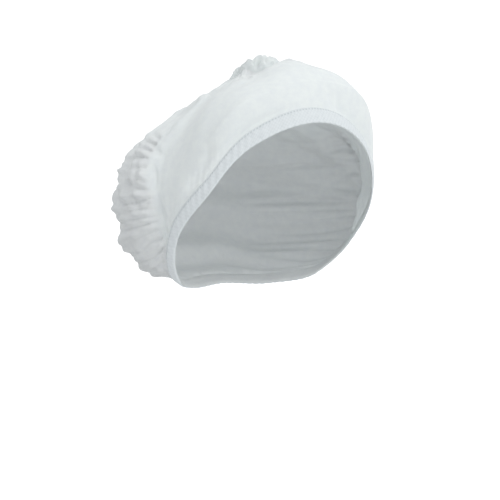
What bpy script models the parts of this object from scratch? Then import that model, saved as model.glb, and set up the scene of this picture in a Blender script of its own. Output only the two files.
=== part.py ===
"""Disposable hairnet, as worn: a gathered non-woven crown, an elastic headband and a crumpled tuft.

The cap is modelled with its head opening level at Z = 0 and its forehead towards -Y, and is then
turned about X to the slope at which it is worn. Its origin is the middle of the head opening.
Lengths are metres. A turn is the angle round the opening from the forehead, towards +X.
"""
import math
from typing import NamedTuple

import bmesh
import bpy
import numpy as np

# Driving sizes
WORN_TILT = math.radians(50.5)      # slope of the head opening, forehead high and nape low
HEM_RADIUS = 0.087                  # mean reach of the hem from the middle of the opening
HEAD_CENTRE_HEIGHT = 0.026          # middle of the head above the opening
CROWN_RADIUS = 0.106                # reach of the fullest cloth from the middle of the head
CLOTH_WALL = 0.0012
BAND_WIDTH = 0.012
BAND_THICKNESS = 0.0012
BAND_FLARE = 0.0015                 # how much further out the band's upper edge lies
PIECE_GAP = 0.0003
LIP_RISE = 0.0020                   # height over which the cloth swells out above the band
LIP_OVERHANG = 0.0008               # how far that swell stands proud of the band
GATHER_PITCH = 0.0165               # one gather along the hem, where they are closest
GATHER_DEPTH = 0.0040               # ridge to valley of the gathers that rise from the band
SWAG_ANGLE_MIDDLE = math.radians(15.5)   # one swag of the bag, seen along the line between the ears
SWAG_ANGLE_SIDES = math.radians(25.5)    # the same where they have run together behind the ears
SWAG_CREST = math.radians(65)            # where one of their ridges runs straight across the back
SWAG_MERGE_START = 0.0200           # from this far off the middle to the next they run together
SWAG_MERGE_END = 0.0600
SWAG_DEPTH = 0.0080                 # ridge to valley, where they are deepest
SWAG_FULL_REACH = 0.0900            # distance from that line at which they are deepest
DENT_DEPTH = 0.0050
DENT_SPAN = 0.0300
TUFT_TILT = math.radians(50)        # how far forward of the opening's axis the tuft stands
TUFT_LEAN = math.radians(-3.5)       # how far it has slipped round towards the wearer's right
TUFT_RADIUS = 0.0190
TUFT_HEIGHT = 0.0130
TUFT_MARGIN = 0.0020                # smooth cloth left round the tuft

# How finely the cloth is faceted
COLUMNS_PER_GATHER = 4
CLOTH_ROWS = 27
CLOTH_ROW_CROWDING = 1.15           # above 1, the rows stand closer near the band
TUFT_COLUMNS = 44


class Section(NamedTuple):
    """One section of the cap, from the hem to the tuft; the two sides of the cap mirror it."""

    turn: float      # degrees from the forehead
    hem: float       # reach of the hem, as a share of HEM_RADIUS
    lift: float      # height of the hem, as a share of HEM_RADIUS
    reach: tuple     # reach of the cloth at each of LEVELS, as shares of CROWN_RADIUS
    swag: float      # depth of the swags, as a share of SWAG_DEPTH
    gather: float    # depth of the gathers, as a share of GATHER_DEPTH
    pitch: float     # pitch of the gathers, as a multiple of GATHER_PITCH


LEVELS = (0.07, 0.20, 0.36, 0.52, 0.68, 0.84, 1.0)   # shares of the way from the band to the tuft

FOREHEAD = Section(0, 1.063, 0.005, (0.975, 1.020, 1.025, 1.005, 0.965, 0.922, 0.875), 0, 0.16, 2.6)
BROW = Section(35, 1.000, -0.012, (0.970, 1.042, 1.043, 1.005, 0.968, 0.920, 0.875), 0, 0.18, 2.6)
TEMPLE = Section(70, 0.925, -0.092, (0.855, 0.915, 0.945, 0.925, 0.880, 0.868, 0.875), 0, 0.25, 2.3)
EAR = Section(98, 0.945, -0.080, (0.856, 0.872, 0.862, 0.845, 0.830, 0.828, 0.875), 0.10, 0.35, 1.4)
BAG_EDGE = Section(114, 0.945, -0.092, (0.900, 0.940, 0.925, 0.865, 0.822, 0.820, 0.875), 0.8, 0.6, 1.0)
BAG_SIDE = Section(130, 0.943, -0.088, (0.962, 1.007, 0.995, 0.892, 0.808, 0.810, 0.875), 1.0, 0.8, 1.0)
BAG_BACK = Section(155, 0.930, 0.050, (0.898, 0.998, 0.995, 0.888, 0.793, 0.791, 0.875), 1.0, 1.0, 1.0)
NAPE = Section(180, 0.920, 0.160, (0.867, 0.955, 0.985, 0.945, 0.870, 0.825, 0.875), 1.0, 1.0, 1.0)
SECTIONS = (FOREHEAD, BROW, TEMPLE, EAR, BAG_EDGE, BAG_SIDE, BAG_BACK, NAPE)

FOLD_LEVELS = (0.0, 0.04, 0.10, 0.30, 0.55, 0.75, 0.90, 1.0)   # where the two tables below hold
SWAG_GROWTH = (0.0, 0.30, 0.85, 1.00, 0.80, 0.45, 0.20, 0.0)   # share of the section's swags
GATHER_GROWTH = (0.0, 0.90, 1.00, 0.45, 0.25, 0.30, 0.15, 0.0)  # share of the section's gathers


class Dent(NamedTuple):
    """A dent in the cloth, or a swelling where its depth is negative."""

    turn: float      # degrees from the forehead, past 180 on the wearer's right
    level: float     # share of the way from the band to the tuft
    across: float    # half width round the head, as a share of DENT_SPAN
    along: float     # half length up the head, as a share of DENT_SPAN
    depth: float     # as a share of DENT_DEPTH


VALLEY_BEHIND_RIGHT_EAR = Dent(251, 0.12, 0.24, 0.85, 0.90)
VALLEY_UP_RIGHT_SIDE = Dent(250, 0.34, 0.30, 0.80, 0.60)
VALLEY_BEHIND_LEFT_EAR = Dent(109, 0.15, 0.26, 0.95, 0.80)
SWELL_OVER_RIGHT_EAR = Dent(273, 0.06, 0.40, 0.32, -0.50)
HOLLOW_RIGHT_BROW = Dent(325, 0.52, 1.30, 1.20, 2.00)
SWELL_BESIDE_TUFT = Dent(28, 0.74, 0.60, 0.55, -0.70)
CRUMPLE_LEFT_BROW = Dent(18, 0.05, 0.30, 0.30, 0.40)
FOLD_BEHIND_TUFT = Dent(192, 0.80, 0.90, 0.30, 0.40)
DENTS = (VALLEY_BEHIND_RIGHT_EAR, VALLEY_UP_RIGHT_SIDE, VALLEY_BEHIND_LEFT_EAR,
         SWELL_OVER_RIGHT_EAR, HOLLOW_RIGHT_BROW, SWELL_BESIDE_TUFT, CRUMPLE_LEFT_BROW,
         FOLD_BEHIND_TUFT)

HEAD_CENTRE = np.array((0.0, 0.0, HEAD_CENTRE_HEIGHT))
EAR_AXIS = (0.13 * HEM_RADIUS, 0.03 * HEM_RADIUS)   # Y and Z of the line between the ears
TUFT_DIRECTION = np.array((math.sin(TUFT_TILT) * math.sin(TUFT_LEAN),
                           -math.sin(TUFT_TILT) * math.cos(TUFT_LEAN),
                           math.cos(TUFT_TILT)))


def smooth_slopes(xs, ys):
    """Slopes of a smooth curve through the points that never overshoots them."""
    steps = np.diff(ys) / np.diff(xs)
    slopes = np.zeros(len(xs))
    for i in range(1, len(xs) - 1):
        before, after = steps[i - 1], steps[i]
        if before * after > 0:
            slopes[i] = 2 * before * after / (before + after)
    return slopes


def smooth_through(xs, ys, x):
    """The value at x of the smooth curve through the points."""
    xs, ys = np.asarray(xs, float), np.asarray(ys, float)
    slopes = smooth_slopes(xs, ys)
    x = min(max(x, xs[0]), xs[-1])
    i = min(int(np.searchsorted(xs, x, side="right")) - 1, len(xs) - 2)
    span = xs[i + 1] - xs[i]
    s = (x - xs[i]) / span
    value = ys[i] * (1 + 2 * s) * (1 - s) ** 2 + slopes[i] * span * s * (1 - s) ** 2
    return value + ys[i + 1] * s * s * (3 - 2 * s) - slopes[i + 1] * span * s * s * (1 - s)


def at_turn(column, turn):
    """A column of the sections table, read at any turn round the head."""
    mirrored = abs((turn + 180) % 360 - 180)
    return smooth_through([section.turn for section in SECTIONS], column, mirrored)


class Meridian:
    """The line over the cap from the hem to the tuft at one turn round the head."""

    def __init__(self, turn):
        self.turn = turn
        reach = HEM_RADIUS * at_turn([section.hem for section in SECTIONS], turn)
        height = HEM_RADIUS * at_turn([section.lift for section in SECTIONS], turn)
        angle = math.radians(turn)
        hem = np.array((reach * math.sin(angle), -reach * math.cos(angle), height)) - HEAD_CENTRE
        self.hem_reach = float(np.linalg.norm(hem))
        self.hem_direction = hem / self.hem_reach
        self.sweep = math.acos(float(self.hem_direction @ TUFT_DIRECTION))
        self.band_angle = BAND_WIDTH / self.hem_reach
        self.reaches = [CROWN_RADIUS * at_turn([section.reach[i] for section in SECTIONS], turn)
                        for i in range(len(LEVELS))]
        self.swag = SWAG_DEPTH * at_turn([section.swag for section in SECTIONS], turn)
        self.gather = GATHER_DEPTH * at_turn([section.gather for section in SECTIONS], turn)
        self.foot_angle = self.sweep - (TUFT_RADIUS + TUFT_MARGIN) / self.reaches[-1]

    def place(self, angle, reach):
        """The point at an angle above the hem and a reach from the middle of the head."""
        towards_hem = math.sin(self.sweep - angle) / math.sin(self.sweep)
        towards_tuft = math.sin(angle) / math.sin(self.sweep)
        direction = towards_hem * self.hem_direction + towards_tuft * TUFT_DIRECTION
        return HEAD_CENTRE + reach * direction

    def band_reach(self, angle):
        """Reach of the cloth under the band, at an angle above the hem."""
        return self.hem_reach + BAND_FLARE * min(angle / self.band_angle, 1.0)

    def level(self, angle):
        """Share of the way from the band's upper edge to the tuft."""
        return (angle - self.band_angle) / (self.sweep - self.band_angle)

    def fold_level(self, angle):
        """Share of the way from the band's upper edge to the smooth cloth round the tuft."""
        return min(1.0, (angle - self.band_angle) / (self.foot_angle - self.band_angle))

    def lip_reach(self):
        """Reach of the swell that stands over the band's upper edge."""
        return self.hem_reach + BAND_FLARE + PIECE_GAP + BAND_THICKNESS + LIP_OVERHANG

    def smooth_reach(self, angle):
        """Reach of the cloth above the band, before its pleats and dents."""
        lip_level = LIP_RISE / self.hem_reach / (self.sweep - self.band_angle)
        levels = (lip_level, *LEVELS)
        reaches = (self.lip_reach(), *self.reaches)
        return smooth_through(levels, reaches, self.level(angle))


def gather_table():
    """Turns round the head and the number of gathers passed by each; the last is a whole number."""
    turns = np.linspace(0.0, 360.0, 361)
    pitches = [GATHER_PITCH * at_turn([section.pitch for section in SECTIONS], t) for t in turns]
    hem = []
    for turn in turns:
        meridian = Meridian(turn)
        hem.append(meridian.place(0.0, meridian.hem_reach))
    lengths = np.linalg.norm(np.diff(hem, axis=0), axis=1)
    passed = np.concatenate(([0.0], np.cumsum(lengths / np.array(pitches[1:]))))
    return turns, passed * round(passed[-1]) / passed[-1]


GATHER_TURNS, GATHERS_PASSED = gather_table()
GATHER_COUNT = int(round(GATHERS_PASSED[-1]))


def gather_wave(turn, level):
    """From -1 in a valley to 1 on a ridge, with each gather swelling and fading in its own way."""
    passed = float(np.interp(turn % 360, GATHER_TURNS, GATHERS_PASSED))
    gather = math.floor(passed)
    unevenness = 0.76 + 0.14 * math.sin(2.4 * gather + 0.7) + 0.22 * math.sin(9 * level + 1.9 * gather)
    return unevenness * math.sin(2 * math.pi * passed)


def swag_wave(point):
    """The swags that run round the back from ear to ear: 1 on a ridge and about -1 in a valley."""
    around_ears = math.atan2(point[2] - EAR_AXIS[1], point[1] - EAR_AXIS[0])
    merge = (abs(point[0]) - SWAG_MERGE_START) / (SWAG_MERGE_END - SWAG_MERGE_START)
    merged = smooth_through((0.0, 1.0), (0.0, 1.0), merge)
    per_radian = (1 - merged) / SWAG_ANGLE_MIDDLE + merged / SWAG_ANGLE_SIDES
    drift = 0.30 * (1 - merged) * math.sin(1.7 * around_ears + 1.1)
    phase = (around_ears - SWAG_CREST) * per_radian + drift
    unevenness = 0.88 + 0.12 * math.sin(2.3 * phase + 1.5 * point[0] / HEM_RADIUS)
    reach = math.hypot(point[1] - EAR_AXIS[0], point[2] - EAR_AXIS[1])
    crowding = min(1.0, reach / SWAG_FULL_REACH)
    return unevenness * crowding * math.cos(2 * math.pi * phase)


def dent_depth(meridian, angle):
    """How far the dents draw the cloth in at one point."""
    total = 0.0
    for dent in DENTS:
        turn_away = math.radians((meridian.turn - dent.turn + 180) % 360 - 180)
        across = turn_away * HEM_RADIUS / (dent.across * DENT_SPAN)
        climb = (meridian.level(angle) - dent.level) * (meridian.sweep - meridian.band_angle)
        along = climb * CROWN_RADIUS / (dent.along * DENT_SPAN)
        total += dent.depth * DENT_DEPTH * math.exp(-across * across - along * along)
    return total


def cloth_reach(meridian, angle):
    """Reach of the crown's outer face at an angle above the hem."""
    level = meridian.fold_level(angle)
    if level <= 0:
        return meridian.band_reach(angle)
    reach = meridian.smooth_reach(angle)
    gathers = meridian.gather * smooth_through(FOLD_LEVELS, GATHER_GROWTH, level)
    swags = meridian.swag * smooth_through(FOLD_LEVELS, SWAG_GROWTH, level)
    folds = gathers * gather_wave(meridian.turn, level) + swags * swag_wave(meridian.place(angle, reach))
    clear_of_edges = min(1.0, level / FOLD_LEVELS[1], (1.0 - level) / (1.0 - FOLD_LEVELS[-2]))
    return reach + 0.5 * folds - clear_of_edges * dent_depth(meridian, angle)


def crown_point(meridian, angle):
    return meridian.place(angle, cloth_reach(meridian, angle))


def crown_row_angles(meridian):
    """Angles above the hem of the crown's rows, from the hem to the point under the tuft."""
    lip = meridian.band_angle + LIP_RISE / meridian.hem_reach
    shares = [(row / CLOTH_ROWS) ** CLOTH_ROW_CROWDING for row in range(CLOTH_ROWS + 1)]
    cloth = [lip + share * (meridian.foot_angle - lip) for share in shares]
    return [0.0, meridian.band_angle, *cloth, meridian.sweep]


def placed_grid(name, columns, rows, point_at):
    """A grid of quads wrapped round the head, with each corner placed by its column and row."""
    bm = bmesh.new()
    bmesh.ops.create_grid(bm, x_segments=columns, y_segments=rows, size=0.5)
    for vertex in bm.verts:
        column = round((vertex.co.x + 0.5) * columns) % columns
        row = round((vertex.co.y + 0.5) * rows)
        vertex.co = point_at(column, row)
    bmesh.ops.remove_doubles(bm, verts=bm.verts[:], dist=1e-6)
    bmesh.ops.recalc_face_normals(bm, faces=bm.faces[:])
    mesh = bpy.data.meshes.new(name)
    bm.to_mesh(mesh)
    bm.free()
    return mesh


def material(name, colour, roughness):
    made = bpy.data.materials.new(name)
    made.use_nodes = True
    shader = made.node_tree.nodes["Principled BSDF"]
    shader.inputs["Base Color"].default_value = (*colour, 1.0)
    shader.inputs["Roughness"].default_value = roughness
    shader.inputs["Metallic"].default_value = 0.0
    return made


def add_piece(name, mesh, finish, parent):
    mesh.materials.append(finish)
    mesh.shade_smooth()
    piece = bpy.data.objects.new(name, mesh)
    piece.parent = parent
    bpy.context.scene.collection.objects.link(piece)
    return piece


def column_meridians():
    """Meridians spaced with the gathers, so that each ridge and valley has a column of its own."""
    passed = np.arange(GATHER_COUNT * COLUMNS_PER_GATHER) / COLUMNS_PER_GATHER + 0.25
    turns = np.interp(passed % GATHER_COUNT, GATHERS_PASSED, GATHER_TURNS)
    return [Meridian(float(turn)) for turn in turns]


def make_crown(parent):
    """The round sheet, drawn in at the hem, hung in swags at the back and closed under the tuft."""
    meridians = column_meridians()
    angles = [crown_row_angles(meridian) for meridian in meridians]

    def point_at(column, row):
        return crown_point(meridians[column], angles[column][row])

    mesh = placed_grid("crown", len(meridians), len(angles[0]) - 1, point_at)
    crown = add_piece("crown", mesh, material("spunbond cloth", (0.86, 0.89, 0.88), 0.85), parent)
    wall = crown.modifiers.new("cloth wall", "SOLIDIFY")
    wall.thickness = CLOTH_WALL
    wall.offset = -1.0
    wall.use_even_offset = True
    return crown


def make_headband(parent):
    """The flat elastic strip round the outside of the hem."""
    meridians = column_meridians()

    def point_at(column, row):
        meridian = meridians[column]
        lower = row in (0, 3, 4)
        outer = row in (2, 3)
        angle = 0.0 if lower else meridian.band_angle
        reach = meridian.band_reach(angle) + PIECE_GAP + (BAND_THICKNESS if outer else 0.0)
        return meridian.place(angle, reach)

    mesh = placed_grid("headband", len(meridians), 4, point_at)
    return add_piece("headband", mesh, material("elastic strip", (0.82, 0.85, 0.86), 0.7), parent)


def tuft_footprint(turn):
    """Reach of the tuft's crumpled edge from its own middle, as a share of TUFT_RADIUS."""
    angle = math.radians(turn)
    return 0.88 + 0.08 * math.cos(3 * angle + 0.6) + 0.04 * math.cos(7 * angle + 1.9)


def tuft_rise(turn, share):
    """Height of the tuft's upper face over the cloth, as a share of TUFT_HEIGHT."""
    angle = math.radians(turn)
    mound = (1 - share ** 2.6) * (0.80 + 0.20 * math.cos(2 * angle + 2.2) * share)
    crumples = 0.15 * math.cos(5 * angle + 5.0 * share) + 0.11 * math.cos(9 * angle - 4.0 * share)
    return mound * (1 + crumples * math.sin(math.pi * min(share, 0.97)))


def make_tuft(parent):
    """The crumpled knot: its underside lies on the cloth, and its top is a creased mound."""
    shares = (0.0, 1.0, 1.0, 0.86, 0.66, 0.44, 0.22, 0.0)
    under_rows = 2
    edge_roll = 0.12 * TUFT_HEIGHT
    meridians = [Meridian(360.0 * i / TUFT_COLUMNS) for i in range(TUFT_COLUMNS)]

    def point_at(column, row):
        meridian, share = meridians[column], shares[row]
        away = share * TUFT_RADIUS * tuft_footprint(meridian.turn) / (TUFT_RADIUS + TUFT_MARGIN)
        middle = crown_point(meridian, meridian.sweep)
        seat = middle + away * (crown_point(meridian, meridian.foot_angle) - middle)
        height = PIECE_GAP
        if row >= under_rows:
            height += edge_roll + (TUFT_HEIGHT - edge_roll) * tuft_rise(meridian.turn, share)
        return seat + height * (seat - HEAD_CENTRE) / np.linalg.norm(seat - HEAD_CENTRE)

    mesh = placed_grid("tuft", TUFT_COLUMNS, len(shares) - 1, point_at)
    return add_piece("tuft", mesh, material("gathered cloth", (0.84, 0.87, 0.86), 0.85), parent)


def main():
    for obj in list(bpy.data.objects):
        bpy.data.objects.remove(obj, do_unlink=True)
    worn_pose = bpy.data.objects.new("worn_pose", None)
    worn_pose.rotation_euler.x = -WORN_TILT
    bpy.context.scene.collection.objects.link(worn_pose)
    make_crown(worn_pose)
    make_headband(worn_pose)
    make_tuft(worn_pose)
    bpy.context.view_layer.update()


main()
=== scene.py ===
import math

import bmesh
import bpy
import numpy as np
from mathutils import Matrix, Vector, noise


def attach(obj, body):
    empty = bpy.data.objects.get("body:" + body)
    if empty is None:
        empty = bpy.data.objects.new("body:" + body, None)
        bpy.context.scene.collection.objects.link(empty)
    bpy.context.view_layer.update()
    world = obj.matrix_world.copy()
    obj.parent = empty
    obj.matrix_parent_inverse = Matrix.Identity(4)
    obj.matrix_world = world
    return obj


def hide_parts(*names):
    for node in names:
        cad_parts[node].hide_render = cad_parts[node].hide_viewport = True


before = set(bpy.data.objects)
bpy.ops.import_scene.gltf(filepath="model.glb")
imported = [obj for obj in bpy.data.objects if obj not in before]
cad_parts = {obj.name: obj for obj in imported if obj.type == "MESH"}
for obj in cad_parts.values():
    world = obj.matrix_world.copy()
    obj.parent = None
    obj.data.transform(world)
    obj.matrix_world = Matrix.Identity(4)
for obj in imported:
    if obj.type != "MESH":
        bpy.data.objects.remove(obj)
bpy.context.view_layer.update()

# The cap is shaped with its head opening level at Z = 0 and the forehead towards -Y, as in the CAD,
# and every point is then tipped back to the slope at which it is worn. Metres throughout.
# A turn is in degrees round the opening from the forehead towards +X; past 180 is the wearer's right.
worn = {
    "tilt": math.radians(50.5),
    "headCentre": np.array((0.0, 0.0, 0.026)),
    "hemRadius": 0.087,
    "crownRadius": 0.106,
    "bandWidth": 0.012,
    "bandThickness": 0.0012,
    "bandFlare": 0.0015,
    "gap": 0.0003,
    "lipRise": 0.0020,
    "lipOverhang": 0.0008,
    "browStraight": 0.9,            # how straight the cloth runs up from the band over the forehead
    "browTurn": 15, "browHalfWidth": 75,
    "browRise": 0.92,               # just under 1, so that it still rounds a little
    "earAxis": (0.0113, 0.0026),    # Y and Z of the line between the ears
    "tuftTilt": math.radians(50),
    "tuftLean": math.radians(-3.5),
    "tuftRadius": 0.019,
    "tuftMargin": 0.002,
}

# One row for each section: turn, hem reach, hem lift, then the cloth's reach at each of the levels.
levels = (0.07, 0.20, 0.36, 0.52, 0.68, 0.84, 1.0)
sections = (
    (0, 1.063, 0.005, 0.975, 1.020, 1.025, 1.005, 0.965, 0.922, 0.875),
    (35, 1.000, -0.012, 0.970, 1.042, 1.043, 1.005, 0.968, 0.920, 0.875),
    (70, 0.925, -0.092, 0.855, 0.915, 0.945, 0.925, 0.880, 0.868, 0.875),
    (98, 0.945, -0.080, 0.856, 0.872, 0.862, 0.845, 0.830, 0.828, 0.875),
    (114, 0.945, -0.092, 0.900, 0.940, 0.925, 0.865, 0.822, 0.820, 0.875),
    (130, 0.943, -0.088, 0.962, 1.007, 0.995, 0.892, 0.808, 0.810, 0.875),
    (155, 0.930, 0.050, 0.898, 0.998, 0.995, 0.888, 0.793, 0.791, 0.875),
    (180, 0.920, 0.160, 0.867, 0.955, 0.985, 0.945, 0.870, 0.825, 0.875),
)
sectionTurns = [row[0] for row in sections]


# curves
def smoothThrough(xs, ys, x):
    # a smooth curve through the points that never overshoots them
    xs, ys = np.asarray(xs, float), np.asarray(ys, float)
    steps = np.diff(ys) / np.diff(xs)
    before, after = steps[:-1], steps[1:]
    slopes = np.zeros(len(xs))
    bends = before * after > 0
    slopes[1:-1][bends] = 2 * before[bends] * after[bends] / (before + after)[bends]
    x = np.clip(x, xs[0], xs[-1])
    i = np.clip(np.searchsorted(xs, x, side="right") - 1, 0, len(xs) - 2)
    span = xs[i + 1] - xs[i]
    s = (x - xs[i]) / span
    value = ys[i] * (1 + 2 * s) * (1 - s) ** 2 + slopes[i] * span * s * (1 - s) ** 2
    return value + ys[i + 1] * s * s * (3 - 2 * s) - slopes[i + 1] * span * s * s * (1 - s)


def byTurn(column, turns):
    mirrored = np.abs((turns + 180) % 360 - 180)
    return smoothThrough(sectionTurns, column, mirrored)


def bump(x, centre, halfWidth):
    return np.exp(-((x - centre) / halfWidth) ** 2)


def turnBump(turns, centre, halfWidth):
    return np.exp(-(((turns - centre + 180) % 360 - 180) / halfWidth) ** 2)


def ramp(x, low, high):
    s = np.clip((x - low) / (high - low), 0, 1)
    return s * s * (3 - 2 * s)


def noiseOver(points, pitch, seed):
    # smooth noise from about -1 to 1 at the points, whose lumps are about one pitch across
    flat = points.reshape(-1, 3) / pitch + np.array((seed * 7.31, seed * 3.17, seed * 5.53))
    return np.array([noise.noise(Vector(p)) for p in flat.tolist()]).reshape(points.shape[:-1])


def ridgesOver(points, pitch, seed):
    # creases where smooth noise crosses zero, 1 on a crease and falling to 0 between
    return 1 - np.minimum(1, 2.6 * np.abs(noiseOver(points, pitch, seed)))


# the head's lines
class HeadLines:
    # the lines that run over the cap from the hem to the tuft, one for each turn
    def __init__(self, turns):
        self.turns = turns
        angle = np.radians(turns)
        reach = worn["hemRadius"] * byTurn([row[1] for row in sections], turns)
        lift = worn["hemRadius"] * byTurn([row[2] for row in sections], turns)
        hem = np.stack((reach * np.sin(angle), -reach * np.cos(angle), lift), 1) - worn["headCentre"]
        self.hemReach = np.linalg.norm(hem, axis=1)
        self.hemDirection = hem / self.hemReach[:, None]
        tilt, lean = worn["tuftTilt"], worn["tuftLean"]
        self.tuftDirection = np.array((math.sin(tilt) * math.sin(lean),
                                       -math.sin(tilt) * math.cos(lean), math.cos(tilt)))
        self.sweep = np.arccos(self.hemDirection @ self.tuftDirection)
        self.bandAngle = worn["bandWidth"] / self.hemReach
        self.reaches = [worn["crownRadius"] * byTurn([row[3 + i] for row in sections], turns)
                        for i in range(len(levels))]
        self.footAngle = self.sweep - (worn["tuftRadius"] + worn["tuftMargin"]) / self.reaches[-1]

    def place(self, angles, reach):
        # angles and reach hold one row for each turn
        sweep = self.sweep[:, None]
        towardsHem = np.sin(sweep - angles) / np.sin(sweep)
        towardsTuft = np.sin(angles) / np.sin(sweep)
        direction = towardsHem[..., None] * self.hemDirection[:, None, :] \
            + towardsTuft[..., None] * self.tuftDirection
        return worn["headCentre"] + reach[..., None] * direction

    def hemPoints(self):
        return self.place(np.zeros((len(self.turns), 1)), self.hemReach[:, None])[:, 0]

    def bandReach(self, angles):
        return self.hemReach[:, None] + worn["bandFlare"] * np.minimum(angles / self.bandAngle[:, None], 1)

    def smoothReach(self, angles):
        # the cloth above the band, before its folds
        result = np.empty_like(angles)
        lip = self.hemReach + worn["bandFlare"] + worn["gap"] + worn["bandThickness"]
        lip = lip + worn["lipOverhang"]
        span = self.sweep - self.bandAngle
        for i in range(len(self.turns)):
            lipLevel = worn["lipRise"] / self.hemReach[i] / span[i]
            level = (angles[i] - self.bandAngle[i]) / span[i]
            reaches = [r[i] for r in self.reaches]
            result[i] = smoothThrough((lipLevel, *levels), (lip[i], *reaches), level)
            rise = np.clip((level - lipLevel) / (levels[1] - lipLevel), 0, 1)
            straight = lip[i] + (reaches[1] - lip[i]) * rise ** worn["browRise"]
            onBrow = worn["browStraight"] * turnBump(self.turns[i], worn["browTurn"], worn["browHalfWidth"])
            result[i] += np.where((rise > 0) & (rise < 1), onBrow * (straight - result[i]), 0)
        return result


def wornPose(points):
    # from the cap's own frame to the slope at which it is worn
    c, s = math.cos(worn["tilt"]), math.sin(worn["tilt"])
    x, y, z = points[..., 0], points[..., 1], points[..., 2]
    return np.stack((x, y * c + z * s, z * c - y * s), -1)


def linkedObject(name, data):
    made = bpy.data.objects.new(name, data)
    bpy.context.scene.collection.objects.link(made)
    return made


def wrappedGrid(name, columns, rows, points, shades):
    # a grid of quads wrapped round the head, each corner put in its place; points[column, row]
    bm = bmesh.new()
    bm.loops.layers.uv.new("cloth")
    shadeLayer = bm.verts.layers.float.new("shade")
    bmesh.ops.create_grid(bm, x_segments=columns, y_segments=rows, size=0.5, calc_uvs=True)
    places = wornPose(points)
    for vertex in bm.verts:
        column = round((vertex.co.x + 0.5) * columns) % columns
        row = round((vertex.co.y + 0.5) * rows)
        vertex.co = places[column, row]
        vertex[shadeLayer] = float(shades[column, row])
    bmesh.ops.remove_doubles(bm, verts=bm.verts[:], dist=1e-6)
    bmesh.ops.recalc_face_normals(bm, faces=bm.faces[:])
    mesh = bpy.data.meshes.new(name)
    bm.to_mesh(mesh)
    bm.free()
    mesh.shade_smooth()
    return linkedObject(name, mesh)


# camera
camera = {
    "azimuth": math.radians(-35),
    "elevation": math.radians(3),
    "distance": 1.6,
    "pixelsPerMetre": 1330,      # at the head's middle
    "pictureSize": 500,
    "headPixel": (255.5, 194.6),  # where the head's middle falls in the picture
    "sensorWidth": 36,            # millimetres
}


def makeCamera():
    a, e = camera["azimuth"], camera["elevation"]
    right = Vector((math.cos(a), math.sin(a), 0))
    back = Vector((math.sin(a) * math.cos(e), -math.cos(a) * math.cos(e), math.sin(e)))
    up = back.cross(right)
    middle = Vector(wornPose(worn["headCentre"]))
    eye = middle + camera["distance"] * back
    half = camera["pictureSize"] / 2
    offX = (half - camera["headPixel"][0]) / camera["pixelsPerMetre"]
    offY = (camera["headPixel"][1] - half) / camera["pixelsPerMetre"]
    aim = middle + offX * right + offY * up      # what the middle of the picture shows
    data = bpy.data.cameras.new("photo camera")
    data.sensor_width = camera["sensorWidth"]
    span = camera["pictureSize"] / camera["pixelsPerMetre"]      # of the whole picture, at the head
    data.lens = camera["sensorWidth"] * (aim - eye).length / span
    data.clip_start = 0.01
    eyePiece = linkedObject("photo camera", data)
    facing = (aim - eye).to_track_quat("-Z", "Y")
    eyePiece.matrix_world = Matrix.Translation(eye) @ facing.to_matrix().to_4x4()
    bpy.context.scene.camera = eyePiece
    return middle, right, back, up


headMiddle, toRight, toCamera, toTop = makeCamera()
print("camera placed")


# materials
def linearColour(code):
    parts = [int(code[i:i + 2], 16) / 255 for i in (1, 3, 5)]
    return (*[p / 12.92 if p <= 0.04045 else ((p + 0.055) / 1.055) ** 2.4 for p in parts], 1.0)


def addNode(tree, kind, settings=(), links=()):
    # settings: names of properties or inputs with values; links: input name or index to a socket
    node = tree.nodes.new(kind)
    for name, value in dict(settings).items():
        if isinstance(name, str) and hasattr(node, name):
            setattr(node, name, value)
        else:
            node.inputs[name].default_value = value
    for name, socket in dict(links).items():
        tree.links.new(socket, node.inputs[name])
    return node


def newMaterial(name, shaderSettings):
    made = bpy.data.materials.new(name)
    made.use_nodes = True
    shader = made.node_tree.nodes["Principled BSDF"]
    for key, value in shaderSettings.items():
        shader.inputs[key].default_value = value
    return made, made.node_tree, shader


# Spunbond polypropylene, 12 g/m2: fibres laid as a web and spot-welded by a heated roller.
# To the eye it is matt, cloudy white, with a fine sheen where it turns edge-on.
spunbond = {
    "thick": "#E6EBEA",     # where the web lies thick
    "thin": "#E1E6E7",      # where it lies thin
    "loose": (0.92, 0.90, 0.905, 1.0),    # painted shade: how much greyer the colour is made where the cloth hangs loose behind the ears, for the shade there
    "bunched": (0.86, 0.885, 0.875, 1.0),    # painted shade: how much darker the colour is made on the tuft and down in its creases
    "cloudPitch": 0.006,
    "weldPitch": 0.0016,    # the real one is 1 mm: drawn as coarse as the render can show
    "weldDepth": 0.00006,
    "crumplePitch": 0.009,
    "crumpleDepth": 0.0010,
    "looseCrumple": 0.45,   # how much stronger the crumples are where the cloth hangs loose
}


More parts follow.
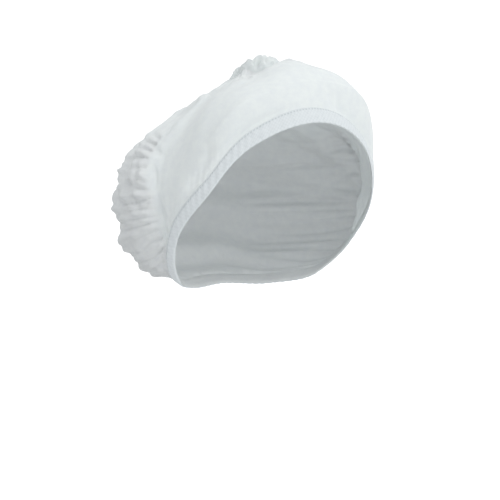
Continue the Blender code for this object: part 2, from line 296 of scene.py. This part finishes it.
def makeSpunbond(name, crumple, loose):
    made, tree, shader = newMaterial(name, {
        "Roughness": 0.82, "Metallic": 0.0, "IOR": 1.49, "Specular IOR Level": 0.35,
        "Sheen Weight": 0.12, "Sheen Roughness": 0.5,
        "Subsurface Weight": 0.3, "Subsurface Radius": (1.0, 1.0, 1.0), "Subsurface Scale": 0.0012})
    place = addNode(tree, "ShaderNodeTexCoord")
    clouds = addNode(tree, "ShaderNodeTexNoise",
                     {"Scale": 1 / spunbond["cloudPitch"], "Detail": 4.0, "Roughness": 0.6},
                     {"Vector": place.outputs["Object"]})
    tone = addNode(tree, "ShaderNodeMapRange", {1: 0.35, 2: 0.65}, {0: clouds.outputs["Fac"]})
    mix = addNode(tree, "ShaderNodeMix", {"data_type": "RGBA", 6: linearColour(spunbond["thin"]),
                                          7: linearColour(spunbond["thick"])}, {0: tone.outputs[0]})
    # painted shade: the base colour is multiplied by the given tone as far as the shade attribute reaches
    shade = addNode(tree, "ShaderNodeAttribute", {"attribute_name": "shade"})
    paintedShadeColour = addNode(tree, "ShaderNodeMix", {"data_type": "RGBA", "blend_type": "MULTIPLY", 7: loose},
                   {0: shade.outputs["Fac"], 6: mix.outputs[2]})
    tree.links.new(paintedShadeColour.outputs[2], shader.inputs["Base Color"])
    welds = addNode(tree, "ShaderNodeTexVoronoi",
                    {"Scale": 1 / spunbond["weldPitch"], "Randomness": 0.35},
                    {"Vector": place.outputs["Object"]})
    dots = addNode(tree, "ShaderNodeMapRange", {1: 0.18, 2: 0.42}, {0: welds.outputs["Distance"]})
    weldBump = addNode(tree, "ShaderNodeBump", {"Strength": 0.35, "Distance": spunbond["weldDepth"]},
                       {"Height": dots.outputs[0]})
    folds = addNode(tree, "ShaderNodeTexNoise",
                    {"noise_type": "RIDGED_MULTIFRACTAL", "Scale": 1 / spunbond["crumplePitch"],
                     "Detail": 3.0, "Roughness": 0.5, "Distortion": 0.6},
                    {"Vector": place.outputs["Object"]})
    strength = addNode(tree, "ShaderNodeMath",
                       {"operation": "MULTIPLY_ADD", 1: spunbond["looseCrumple"], 2: crumple},
                       {0: shade.outputs["Fac"]})
    foldBump = addNode(tree, "ShaderNodeBump", {"Distance": spunbond["crumpleDepth"]},
                       {"Height": folds.outputs["Fac"], "Normal": weldBump.outputs["Normal"],
                        "Strength": strength.outputs[0]})
    tree.links.new(foldBump.outputs["Normal"], shader.inputs["Normal"])
    return made


# crown
crown = {
    "columns": 350,
    "columnCrowding": 1.1,        # how much closer the columns stand behind the ears
    "rows": 134,
    "rowCrowding": 1.22,          # above 1, rows stand closer near the band
    "wall": 0.0003,
    "swagAngleMiddle": math.radians(15.5), "swagAngleSides": math.radians(25.5),
    "swagCrest": math.radians(65), "swagDepth": 0.0080, "swagFullReach": 0.090,
    "scallopDepth": 0.0024,       # half-pitch swags between the tuft and the bag
    "sidePleatAngle": math.radians(4.8), "sidePleatDepth": 0.0034,
    "sideCrumpleDepth": 0.0021,
    "hemGatherPitch": 0.0062, "hemGatherDepth": 0.0011,
    "tuftGathers": 23, "tuftGatherDepth": 0.0012,
    "creaseDepth": 0.0006, "creaseWidth": 0.0026, "creaseWave": 0.016,
    "crumpleDepth": 0.0007,
    "bunchDepth": 0.0013,         # of the cloth under the tuft's near edge
    "meanReach": 0.095,           # turns angles up the cloth into metres
    "earReach": 0.085,            # turns degrees behind the ear's crease into metres
    "dentSize": 0.030, "dentDepth": 0.005,    # units of the dents below
    "flatAcross": 0.39,           # flat cut across; real rounds are wider, with finer gathers than are drawn
    "tuftShare": 0.055,           # the middle of that round, gathered into the tuft
}

# Pitch in metres and seed of each noise that makes the crown's folds uneven
unrest = {
    "scallops": (0.045, 1), "creaseLine": (0.012, 7), "pleats": (0.011, 2), "widePleats": (0.026, 12),
    "pleatSize": (0.014, 3), "sideCrumples": (0.0095, 13), "gathers": (0.016, 4), "gatherSize": (0.018, 5),
    "tuftGathers": (0.020, 6), "crumples": (0.017, 8), "crumpleSize": (0.05, 9), "fineCrumples": (0.011, 10),
    "bunches": (0.0085, 14), "fineBunches": (0.0045, 15),
}

# How strong the swags are in each section, as in the CAD, and how they grow up the cloth
swagBySection = (0, 0, 0, 0.10, 0.8, 1.0, 1.0, 1.0)
foldLevels = (0.0, 0.04, 0.10, 0.30, 0.55, 0.75, 0.90, 1.0)
swagGrowth = (0.0, 0.30, 0.85, 1.00, 0.80, 0.45, 0.20, 0.0)

# The larger dents: turn, level, half width and half length in dent sizes, share of the dent depth
dents = (
    (251, 0.12, 0.24, 0.85, 0.90), (250, 0.34, 0.30, 0.80, 0.60), (109, 0.15, 0.26, 0.95, 0.80),
    (273, 0.06, 0.40, 0.32, -0.50), (325, 0.52, 1.30, 1.20, 2.00), (28, 0.74, 0.60, 0.55, -0.70),
    (18, 0.05, 0.30, 0.30, 0.30), (192, 0.80, 0.90, 0.30, 0.40), (13, 0.075, 0.07, 0.22, 0.26),
    (18, 0.050, 0.06, 0.18, 0.28), (22, 0.040, 0.06, 0.14, 0.24), (27, 0.030, 0.05, 0.12, 0.18),
)

# Pockets and flaps of the loose cloth behind the ear, as seen from the left front, in millimetres
# from the head's middle: across, up, half width, half height, depth
pockets = (
    (-74, -14, 3.2, 6.5, 2.8), (-73, 31, 3.5, 3.5, 2.2), (-75, 13, 1.8, 8.0, 2.0),
    (-72, -31, 3.0, 3.5, 2.2), (-87, 10, 1.8, 6.5, 1.6), (-91, 27, 6.0, 1.6, 1.4),
    (-88, -7, 7.0, 1.5, 1.6), (-81, 13, 4.5, 8.0, -2.4), (-86, 1, 6.0, 1.8, -1.6),
    (-95, 8, 5.0, 1.6, 1.5),
)


def seenFromSide(points):
    # where points of the worn cap, or their mirror images, show from its left front
    offset = wornPose(points) - np.array(headMiddle)
    offset[..., 0] = -np.abs(offset[..., 0])
    return offset @ np.array(toRight), offset @ np.array(toTop)


def clothSurface(lines, angles):
    # how far from the head's middle the folded cloth lies, and how much painted shade its colour gets
    turns = lines.turns
    smooth = lines.smoothReach(angles)
    base = lines.place(angles, smooth)
    turn = np.repeat(turns[:, None], angles.shape[1], 1)
    clothSpan = (lines.footAngle - lines.bandAngle)[:, None]
    level = np.clip((angles - lines.bandAngle[:, None]) / clothSpan, 0, 1)
    height = level * clothSpan * crown["meanReach"]     # metres up the cloth

    ey, ez = worn["earAxis"]
    aroundEars = np.arctan2(base[..., 2] - ez, base[..., 1] - ey)
    sideways = base[..., 0] / worn["hemRadius"]
    fromEars = np.hypot(base[..., 1] - ey, base[..., 2] - ez)
    bag = byTurn(swagBySection, turns)[:, None]
    side = ramp(np.abs(base[..., 0]), 0.040, 0.070)     # 1 beside the ears

    # swags from ear to ear, as in the CAD
    merged = ramp(np.abs(base[..., 0]), 0.020, 0.060)
    perRadian = (1 - merged) / crown["swagAngleMiddle"] + merged / crown["swagAngleSides"]
    phase = (aroundEars - crown["swagCrest"]) * perRadian
    phase = phase + 0.30 * (1 - merged) * np.sin(1.7 * aroundEars + 1.1)
    uneven = 0.88 + 0.12 * np.sin(2.3 * phase + 1.5 * sideways)
    crowding = np.minimum(1, fromEars / crown["swagFullReach"])
    swags = bag * smoothThrough(foldLevels, swagGrowth, level) * uneven * crowding
    reach = smooth + 0.5 * crown["swagDepth"] * swags * np.cos(2 * math.pi * phase)

    # scallops at half that pitch, which show on the outline behind the tuft
    jitter = noiseOver(base, *unrest["scallops"])
    scallops = np.abs(np.cos(2 * math.pi * phase + 1.6 * jitter)) ** 0.7 * 2 - 1
    reach += crown["scallopDepth"] * 0.5 * bag * bump(level, 0.72, 0.25) * scallops * (0.7 + 0.6 * jitter)

    # the crease behind each ear where the cloth stops lying on the head and hangs loose
    creaseTurn = np.interp(level, (0.0, 0.03, 0.13, 0.25, 0.42, 0.6), (247, 247, 249, 249, 243, 240))
    creaseTurn = creaseTurn + 2.0 * noiseOver(base, *unrest["creaseLine"])
    mirroredTurn = 360 - np.abs((turn + 180) % 360 - 180)
    behind = np.radians(creaseTurn - mirroredTurn) * crown["earReach"]      # metres behind it
    calm = 0.78 * ramp(mirroredTurn, 235, 244) * (1 - ramp(level, 0.46, 0.60))
    reach = smooth + (reach - smooth) * (1 - calm)

    # pleats that run back from the crease, with pockets and flaps between them
    seenAcross, seenUp = seenFromSide(base)
    flatView = np.stack((seenAcross / 1.7, seenUp, 0 * seenUp), -1)
    fan = np.arctan2(seenUp, -seenAcross) / crown["sidePleatAngle"]
    wander = 0.35 + 0.75 * ramp(seenUp, -0.015, 0.015)
    fan = fan + wander * noiseOver(flatView, *unrest["pleats"]) \
        + 0.5 * noiseOver(flatView, *unrest["widePleats"])
    onSide = side * ramp(behind, 0.0, 0.005) * ramp(level, 0.0, 0.05)
    onSide *= ramp(seenUp, -0.072, -0.055) * (1 - ramp(seenUp, 0.036, 0.052))
    pleatSize = 1 - 0.45 * ramp(behind, 0.008, 0.026)
    pleatSize = pleatSize * (0.75 + 0.55 * noiseOver(flatView, *unrest["pleatSize"]))
    pleatSize += 0.7 * ramp(-seenUp, 0.028, 0.048)
    pleats = 2 * np.abs(np.cos(math.pi * fan)) ** 0.8 - 1.3
    halfPleats = np.abs(np.cos(2 * math.pi * fan + 1.0)) - 0.6
    reach += 0.5 * crown["sidePleatDepth"] * onSide * pleatSize * pleats
    reach += 0.5 * crown["sidePleatDepth"] * onSide * (1 - ramp(behind, 0.004, 0.013)) * halfPleats
    creased = ridgesOver(flatView, *unrest["sideCrumples"]) - 0.4
    reach += crown["sideCrumpleDepth"] * onSide * (0.25 + 0.75 * ramp(seenUp, -0.022, 0.0)) * creased
    for pocketAcross, pocketUp, halfWide, halfHigh, depth in pockets:
        a = (1000 * seenAcross - pocketAcross) / halfWide
        b = (1000 * seenUp - pocketUp) / halfHigh
        reach -= 0.001 * depth * side * np.exp(-a * a - b * b)

    # short gathers that rise square from the band
    hemLine = lines.hemPoints()
    along = np.concatenate(([0], np.cumsum(np.linalg.norm(np.diff(hemLine, axis=0), axis=1))))
    whole = along[-1] + np.linalg.norm(hemLine[0] - hemLine[-1])
    count = round(whole / crown["hemGatherPitch"])
    gatherPhase = (along / whole * count)[:, None] + 0.55 * noiseOver(base, *unrest["gathers"])
    size = (0.32 + 0.75 * bag) * (0.75 + 0.8 * noiseOver(base, *unrest["gatherSize"]))
    fade = np.exp(-height / (0.011 + 0.010 * bag)) * ramp(height, 0.0, 0.003)
    size = size * (1 - 0.85 * side * ramp(behind, -0.004, 0.004))
    reach += crown["hemGatherDepth"] * size * fade * np.sin(2 * math.pi * gatherPhase)

    # gathers that run out from under the tuft
    away = (1 - level) * clothSpan * crown["meanReach"]
    tuftPhase = np.radians(turn) * crown["tuftGathers"] + 2.2 * noiseOver(base, *unrest["tuftGathers"])
    fade = np.exp(-away / 0.013) * ramp(away, -0.001, 0.004)
    reach += crown["tuftGatherDepth"] * 0.5 * fade * np.cos(tuftPhase)

    # dents, as in the CAD, with the sharper creases that they end in
    clear = np.clip(np.minimum(level / 0.04, (1 - level) / 0.10), 0, 1)
    span = (lines.sweep - lines.bandAngle)[:, None]
    fullLevel = (angles - lines.bandAngle[:, None]) / span
    for dentTurn, dentLevel, across, up, depth in dents:
        a = np.radians((turn - dentTurn + 180) % 360 - 180) * worn["hemRadius"]
        a = a / (across * crown["dentSize"])
        b = (fullLevel - dentLevel) * span * worn["crownRadius"] / (up * crown["dentSize"])
        reach -= clear * depth * crown["dentDepth"] * np.exp(-a * a - b * b)
    crease = bump(behind, 0, crown["creaseWidth"]) * ramp(level, 0.0, 0.04)
    crease = crease * (1 - ramp(level, 0.36, 0.5))
    wave = 0.75 + 0.45 * np.cos(2 * math.pi * height / crown["creaseWave"])
    reach -= crown["creaseDepth"] * crease * wave

    # crumples of the loose cloth
    loose = 0.12 + 0.75 * bag
    crumples = ridgesOver(base, *unrest["crumples"]) * (0.5 + noiseOver(base, *unrest["crumpleSize"]))
    crumples = crumples + 0.8 * noiseOver(base, *unrest["fineCrumples"])
    reach += crown["crumpleDepth"] * loose * clear * crumples
    # painted shade: behind the crease the cloth is coloured greyer than where it lies on the head, for the
    # shade on the loose cloth; it fades out higher up
    shade = ramp(behind, -0.003, 0.005) * (1 - 0.85 * ramp(level, 0.50, 0.66))

    # under the tuft's near edge it is bunched up
    bunched = ramp(seenUp, 0.080, 0.094) * bump(seenAcross, -0.002, 0.019) * turnBump(turn, 335, 60)
    bunched = bunched * np.clip((fullLevel - 0.55) / 0.1, 0, 1)
    bunches = ridgesOver(base, *unrest["bunches"]) + 0.6 * ridgesOver(base, *unrest["fineBunches"]) - 0.6
    reach += crown["bunchDepth"] * bunched * bunches
    # painted shade: the bunched cloth under the tuft's near edge is coloured darker, less on the ridges that
    # stand out
    shade = np.maximum(shade, bunched * (1.1 - 0.6 * bunches))
    return reach, shade


def crownSurface():
    fine = np.linspace(0, 360, 3601)
    crowding = 1 + crown["columnCrowding"] * (turnBump(fine, 115, 22) + turnBump(fine, 245, 22))
    passed = np.concatenate(([0], np.cumsum(crowding[:-1])))
    turns = np.interp(np.arange(crown["columns"]) * passed[-1] / crown["columns"], passed, fine)
    lines = HeadLines(turns)
    lip = lines.bandAngle + worn["lipRise"] / lines.hemReach
    shares = (np.arange(crown["rows"] + 1) / crown["rows"]) ** crown["rowCrowding"]
    band = np.stack([lines.bandAngle * s for s in (0, 0.34, 0.67, 1.0)], 1)
    cloth = lip[:, None] + shares * (lines.footAngle - lip)[:, None]
    under = lines.footAngle[:, None] + np.array((0.34, 0.67, 1.0)) * (lines.sweep - lines.footAngle)[:, None]
    angles = np.concatenate((band, cloth, under), 1)
    reach, shade = clothSurface(lines, angles)
    reach = 0.6 * reach + 0.2 * (np.roll(reach, 1, 0) + np.roll(reach, -1, 0))    # rounds sharp folds
    onBand = angles <= lines.bandAngle[:, None] + 1e-9
    reach = np.where(onBand, lines.bandReach(angles), reach)
    return angles, lines.place(angles, reach), shade


def makeCrown():
    angles, points, shade = crownSurface()
    points[:, -1] = points[:, -1].mean(0)
    piece = wrappedGrid("crownCloth", crown["columns"], angles.shape[1] - 1, points, shade)
    wall = piece.modifiers.new("cloth wall", "SOLIDIFY")
    wall.thickness = crown["wall"]
    wall.offset = -1.0
    wall.use_even_offset = True
    piece.data.materials.append(makeSpunbond("spunbond polypropylene", 0.10, spunbond["loose"]))
    return piece


crownPiece = makeCrown()
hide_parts("crown")
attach(crownPiece, "root")
print("crown made")

# headband
headband = {
    "columns": 1200,
    "faceRows": 18,
    "latticePitch": 0.0030,       # between the weld lines, measured along the strip
    "latticeDepth": 0.00007,
    "seamAt": 0.90,               # dashed seam, as a share of the way up the strip
    "seamPitch": 0.0027, "seamDepth": 0.00030,
    "scallopPitch": 0.0052, "scallopDepth": 0.0006,
    "puckerPitch": 0.0075, "puckerDepth": 0.00014,
    "flatLength": 0.43,           # before it is stretched round the head, a guess
}

# Elastic strip: rubber threads between two webs of spunbond, welded in a lattice.
# To the eye it is matt white with a greyer criss-cross and a dashed line along its upper edge.
elastic = {"web": "#DADFE1", "weld": "#ADB4B8", "weavePitch": 0.0009, "weaveDepth": 0.00005}


def makeElastic():
    made, tree, shader = newMaterial("welded elastic strip", {
        "Roughness": 0.75, "Metallic": 0.0, "IOR": 1.49, "Specular IOR Level": 0.35,
        "Sheen Weight": 0.08, "Sheen Roughness": 0.5})
    shade = addNode(tree, "ShaderNodeAttribute", {"attribute_name": "shade"})
    place = addNode(tree, "ShaderNodeTexCoord")
    mottle = addNode(tree, "ShaderNodeTexNoise", {"Scale": 1 / 0.004, "Detail": 3.0},
                     {"Vector": place.outputs["Object"]})
    uneven = addNode(tree, "ShaderNodeMath", {"operation": "MULTIPLY_ADD", 1: 0.35},
                     {0: mottle.outputs["Fac"], 2: shade.outputs["Fac"]})
    faded = addNode(tree, "ShaderNodeMapRange", {1: 0.17, 2: 1.17}, {0: uneven.outputs[0]})
    mix = addNode(tree, "ShaderNodeMix", {"data_type": "RGBA", 6: linearColour(elastic["web"]),
                                          7: linearColour(elastic["weld"])}, {0: faded.outputs[0]})
    tree.links.new(mix.outputs[2], shader.inputs["Base Color"])
    weave = addNode(tree, "ShaderNodeTexVoronoi", {"Scale": 1 / elastic["weavePitch"]},
                    {"Vector": place.outputs["Object"]})
    relief = addNode(tree, "ShaderNodeBump", {"Strength": 0.4, "Distance": elastic["weaveDepth"]},
                     {"Height": weave.outputs["Distance"]})
    tree.links.new(relief.outputs["Normal"], shader.inputs["Normal"])
    return made


def makeHeadband():
    turns = np.arange(headband["columns"]) * 360 / headband["columns"]
    lines = HeadLines(turns)
    hemLine = lines.hemPoints()
    steps = np.linalg.norm(np.roll(hemLine, -1, 0) - hemLine, axis=1)
    along = np.concatenate(([0], np.cumsum(steps)[:-1]))[:, None]
    whole = steps.sum()

    def wave(pitch):
        # how far along each column is, in whole repeats of the pitch
        return along / whole * round(whole / pitch)

    face = np.linspace(0, 1, headband["faceRows"] + 1)[None]
    lattice = wave(headband["latticePitch"])
    climb = face * worn["bandWidth"] / headband["latticePitch"]
    lineA = np.abs(np.sin(math.pi * (lattice + climb)))
    lineB = np.abs(np.sin(math.pi * (lattice - climb)))
    groove = 1 - np.clip(np.minimum(lineA, lineB) / 0.55, 0, 1)
    inside = ramp(face, 0.04, 0.10) * (1 - ramp(face, 0.80, 0.86))
    dash = np.clip(1.4 * np.abs(np.sin(math.pi * wave(headband["seamPitch"]))) - 0.25, 0, 1)
    seam = bump(face, headband["seamAt"], 0.045) * dash
    lower = headband["scallopDepth"] * (np.abs(np.sin(math.pi * wave(headband["scallopPitch"]))) - 0.5)
    pucker = headband["puckerDepth"] * np.sin(2 * math.pi * wave(headband["puckerPitch"])
                                               + 1.5 * np.sin(9 * 2 * math.pi * along / whole))
    rounding = 1 - (2 * np.abs(face - 0.5)) ** 6      # the strip thins towards both edges
    thick = worn["bandThickness"] * (0.35 + 0.65 * rounding)
    angle = lines.bandAngle[:, None] * face - (1 - face) * lower / lines.hemReach[:, None]
    under = lines.bandReach(np.maximum(angle, 0)) + worn["gap"]
    outer = under + thick + pucker * rounding
    outer -= headband["latticeDepth"] * groove * inside + headband["seamDepth"] * seam
    shade = 0.26 * groove * inside + 0.75 * seam
    back = list(range(headband["faceRows"], -1, -3))      # the inner side needs fewer rows
    angles = np.concatenate((angle, angle[:, back], angle[:, :1]), 1)
    reach = np.concatenate((outer, under[:, back], outer[:, :1]), 1)
    shades = np.concatenate((shade, 0 * under[:, back], shade[:, :1]), 1)
    piece = wrappedGrid("elasticHeadband", len(turns), angles.shape[1] - 1,
                        lines.place(angles, reach), shades)
    piece.data.materials.append(makeElastic())
    return piece


bandPiece = makeHeadband()
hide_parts("headband")
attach(bandPiece, "root")
print("headband made")

# tuft
tuft = {
    "columns": 180,
    "rows": 64,
    "height": 0.0062,
    "creases": 0.0030, "creasePitch": 0.0085,
    "fineCreases": 0.0009, "finePitch": 0.0046,
    "slip": 0.0016,               # how far the creases lean over sideways
    "slipPitch": 0.007,
    "tuck": 0.0005,               # how far its edge is pressed into the crown's cloth
    "meanReach": 0.09,            # turns metres over the mound into angles
    "wall": 0.00025,
    "flatAcross": 0.052,          # flat cut across, close to the area that is drawn
}


def makeTuft():
    turns = np.arange(tuft["columns"]) * 360 / tuft["columns"]
    lines = HeadLines(turns)
    angle = np.radians(turns)[:, None]
    share = np.linspace(1.0, 0.0, tuft["rows"] + 1)[None] ** 0.9
    footprint = 0.88 + 0.08 * np.cos(3 * angle + 0.6) + 0.04 * np.cos(7 * angle + 1.9)
    lobes = 0.42 * ramp(np.cos(angle - 0.96), 0.1, 1.0), 0.55 * ramp(np.cos(angle + 0.65), 0.4, 1.0)
    footprint *= 1 + lobes[0] + lobes[1]
    away = share * footprint * worn["tuftRadius"] / lines.reaches[-1][:, None]
    angles = lines.sweep[:, None] - away
    seat = clothSurface(lines, angles)[0]
    seat[:, -1] = seat[:, -1].mean()
    flatPoints = lines.place(angles, seat)
    mound = 1 - share ** (3.6 + 2.6 * np.cos(angle - 0.9))
    mound = mound * (0.86 + 0.14 * np.cos(2 * angle + 2.2) * share)
    folds = ridgesOver(flatPoints, tuft["creasePitch"], 21) - 0.45
    fine = ridgesOver(flatPoints, tuft["finePitch"], 22) - 0.45
    inside = ramp(1 - share, 0.0, 0.22)
    height = tuft["height"] * mound + inside * (tuft["creases"] * folds + tuft["fineCreases"] * fine)
    height -= tuft["tuck"] * (1 - ramp(1 - share, 0.0, 0.06))
    slip = tuft["slip"] * noiseOver(flatPoints, tuft["slipPitch"], 23) * inside
    slip = slip * (share > 0)     # none at the very top, where all columns meet
    points = lines.place(angles + slip / tuft["meanReach"], seat + height)
    points[:, -1] = points[:, -1].mean(0)
    # painted shade: the whole tuft is coloured a little darker, and darker still in the hollows between its
    # raised creases
    shade = 0.30 + 0.55 * (1 - ramp(folds + 0.5 * fine, -0.5, 0.1))
    piece = wrappedGrid("gatheredTuft", tuft["columns"], tuft["rows"], points, shade)
    wall = piece.modifiers.new("cloth wall", "SOLIDIFY")
    wall.thickness = tuft["wall"]
    wall.offset = -1.0
    piece.data.materials.append(makeSpunbond("crumpled spunbond polypropylene", 0.25, spunbond["bunched"]))
    return piece


tuftPiece = makeTuft()
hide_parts("tuft")
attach(tuftPiece, "root")
print("tuft made")

# light and floor
studio = {
    "floorHeight": -0.34, "floorHalf": 9.0,
    "floorGlow": 0.4,             # a lit sweep, white to the edge
    "sun": 0.66, "sunSpread": math.radians(40),
    "skyDim": 0.61, "skyBright": 0.99, "bounce": 0.30,
    "seenSky": 1.2,               # the background, where the camera sees it
}


def makeStudio():
    bm = bmesh.new()
    bmesh.ops.create_grid(bm, x_segments=1, y_segments=1, size=studio["floorHalf"])
    bmesh.ops.translate(bm, verts=bm.verts[:], vec=(0, 0, studio["floorHeight"]))
    mesh = bpy.data.meshes.new("studio floor")
    bm.to_mesh(mesh)
    bm.free()
    floor = linkedObject("studio_floor", mesh)
    made, tree, shader = newMaterial("white paper sweep", {"Roughness": 0.9, "Specular IOR Level": 0.2})
    place = addNode(tree, "ShaderNodeTexCoord")
    grain = addNode(tree, "ShaderNodeTexNoise", {"Scale": 3.0, "Detail": 3.0},
                    {"Vector": place.outputs["Object"]})
    mix = addNode(tree, "ShaderNodeMix",
                  {"data_type": "RGBA", 6: linearColour("#FAFAFA"), 7: linearColour("#FDFDFD")},
                  {0: grain.outputs["Fac"]})
    tree.links.new(mix.outputs[2], shader.inputs["Base Color"])
    shader.inputs["Emission Color"].default_value = (1, 1, 1, 1)
    shader.inputs["Emission Strength"].default_value = studio["floorGlow"]
    mesh.materials.append(made)
    floor.visible_diffuse = False     # the light round the piece is the sky's alone
    sunData = bpy.data.lights.new("soft key", "SUN")
    sunData.energy = studio["sun"]
    sunData.angle = studio["sunSpread"]
    sunData.color = (1.0, 1.0, 0.985)
    sun = linkedObject("soft key", sunData)
    towards = 0.9 * toCamera + 0.95 * toRight + 1.0 * toTop
    sun.rotation_euler = (-towards).to_track_quat("-Z", "Y").to_euler()
    world = bpy.data.worlds.new("white studio")
    bpy.context.scene.world = world
    world.use_nodes = True
    tree = world.node_tree
    sky = tree.nodes["Background"]
    sky.inputs["Color"].default_value = (0.972, 0.988, 1.0, 1.0)
    aim = addNode(tree, "ShaderNodeTexCoord")
    facing = addNode(tree, "ShaderNodeVectorMath", {"operation": "DOT_PRODUCT", 1: towards.normalized()},
                     {0: aim.outputs["Generated"]})
    strength = addNode(tree, "ShaderNodeMapRange",
                       {1: -1.0, 2: 1.0, 3: studio["skyDim"], 4: studio["skyBright"]},
                       {0: facing.outputs["Value"]})
    below = addNode(tree, "ShaderNodeVectorMath", {"operation": "DOT_PRODUCT", 1: (0, 0, -1)},
                    {0: aim.outputs["Generated"]})
    bounce = addNode(tree, "ShaderNodeMapRange", {1: 0.0, 2: 1.0, 3: 0.0, 4: studio["bounce"]},
                     {0: below.outputs["Value"]})
    lit = addNode(tree, "ShaderNodeMath", {"operation": "ADD"},
                  {0: strength.outputs[0], 1: bounce.outputs[0]})
    tree.links.new(lit.outputs[0], sky.inputs["Strength"])
    seen = addNode(tree, "ShaderNodeBackground", {"Color": (1, 1, 1, 1), "Strength": studio["seenSky"]})
    path = addNode(tree, "ShaderNodeLightPath")
    chosen = addNode(tree, "ShaderNodeMixShader", {}, {0: path.outputs["Is Camera Ray"],
                                                       1: sky.outputs[0], 2: seen.outputs[0]})
    tree.links.new(chosen.outputs[0], tree.nodes["World Output"].inputs["Surface"])
    bpy.context.scene.view_settings.view_transform = "Standard"


makeStudio()
print("studio made")
